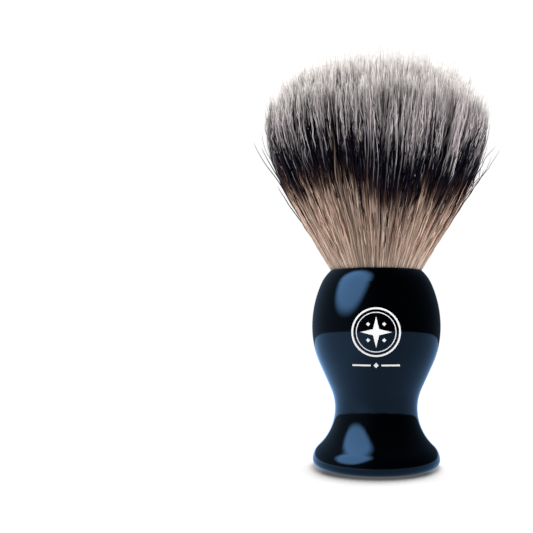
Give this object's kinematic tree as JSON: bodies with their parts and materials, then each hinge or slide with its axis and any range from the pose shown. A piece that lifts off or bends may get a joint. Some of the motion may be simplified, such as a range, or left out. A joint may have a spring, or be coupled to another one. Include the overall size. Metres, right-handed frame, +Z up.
{
  "type": "shaving brush",
  "caption": "Shaving brush with a turned glossy dark resin handle, waisted above a round foot, and a full banded fibre knot with pale tips.",
  "frame": {"origin": "on the brush's axis, at the underside of the foot pad, which the brush stands on", "axes": "+Z up along the axis towards the fibre tips, -Y out of the handle's printed side"},
  "size_m": [0.0586, 0.0586, 0.104],
  "materials": {
    "handle_resin": "polished cast resin, very dark blue-black",
    "badge_ink": "thin white print",
    "weight_steel": "plain turned steel",
    "moulded_plastic": "moulded, unpolished",
    "pad_rubber": "matt rubber sheet",
    "epoxy": "cured epoxy, amber",
    "binding_thread": "waxed thread",
    "brush_fibre": "fine tapered fibres in bands: beige roots, black middle, silver-white tips"
  },
  "bodies": {
    "handle": {"handle_body": "handle_resin", "printed_badge": "badge_ink", "base_weight": "weight_steel", "weight_plug": "moulded_plastic", "foot_pad": "pad_rubber", "socket_adhesive": "epoxy", "knot_ferrule": "moulded_plastic", "root_resin": "epoxy", "root_binding": "binding_thread", "fibre_root": "brush_fibre"},
    "loft": {"fibre_loft": "brush_fibre"}
  },
  "joints": [
    {"name": "fibre_bend", "type": "hinge", "parent": "handle", "child": "loft", "pos_m": [0, 0, 0.059], "axis": [0, 1, 0], "range_deg": [-30, 30], "stiffness_Nm_per_rad": 0.06}
  ]
}
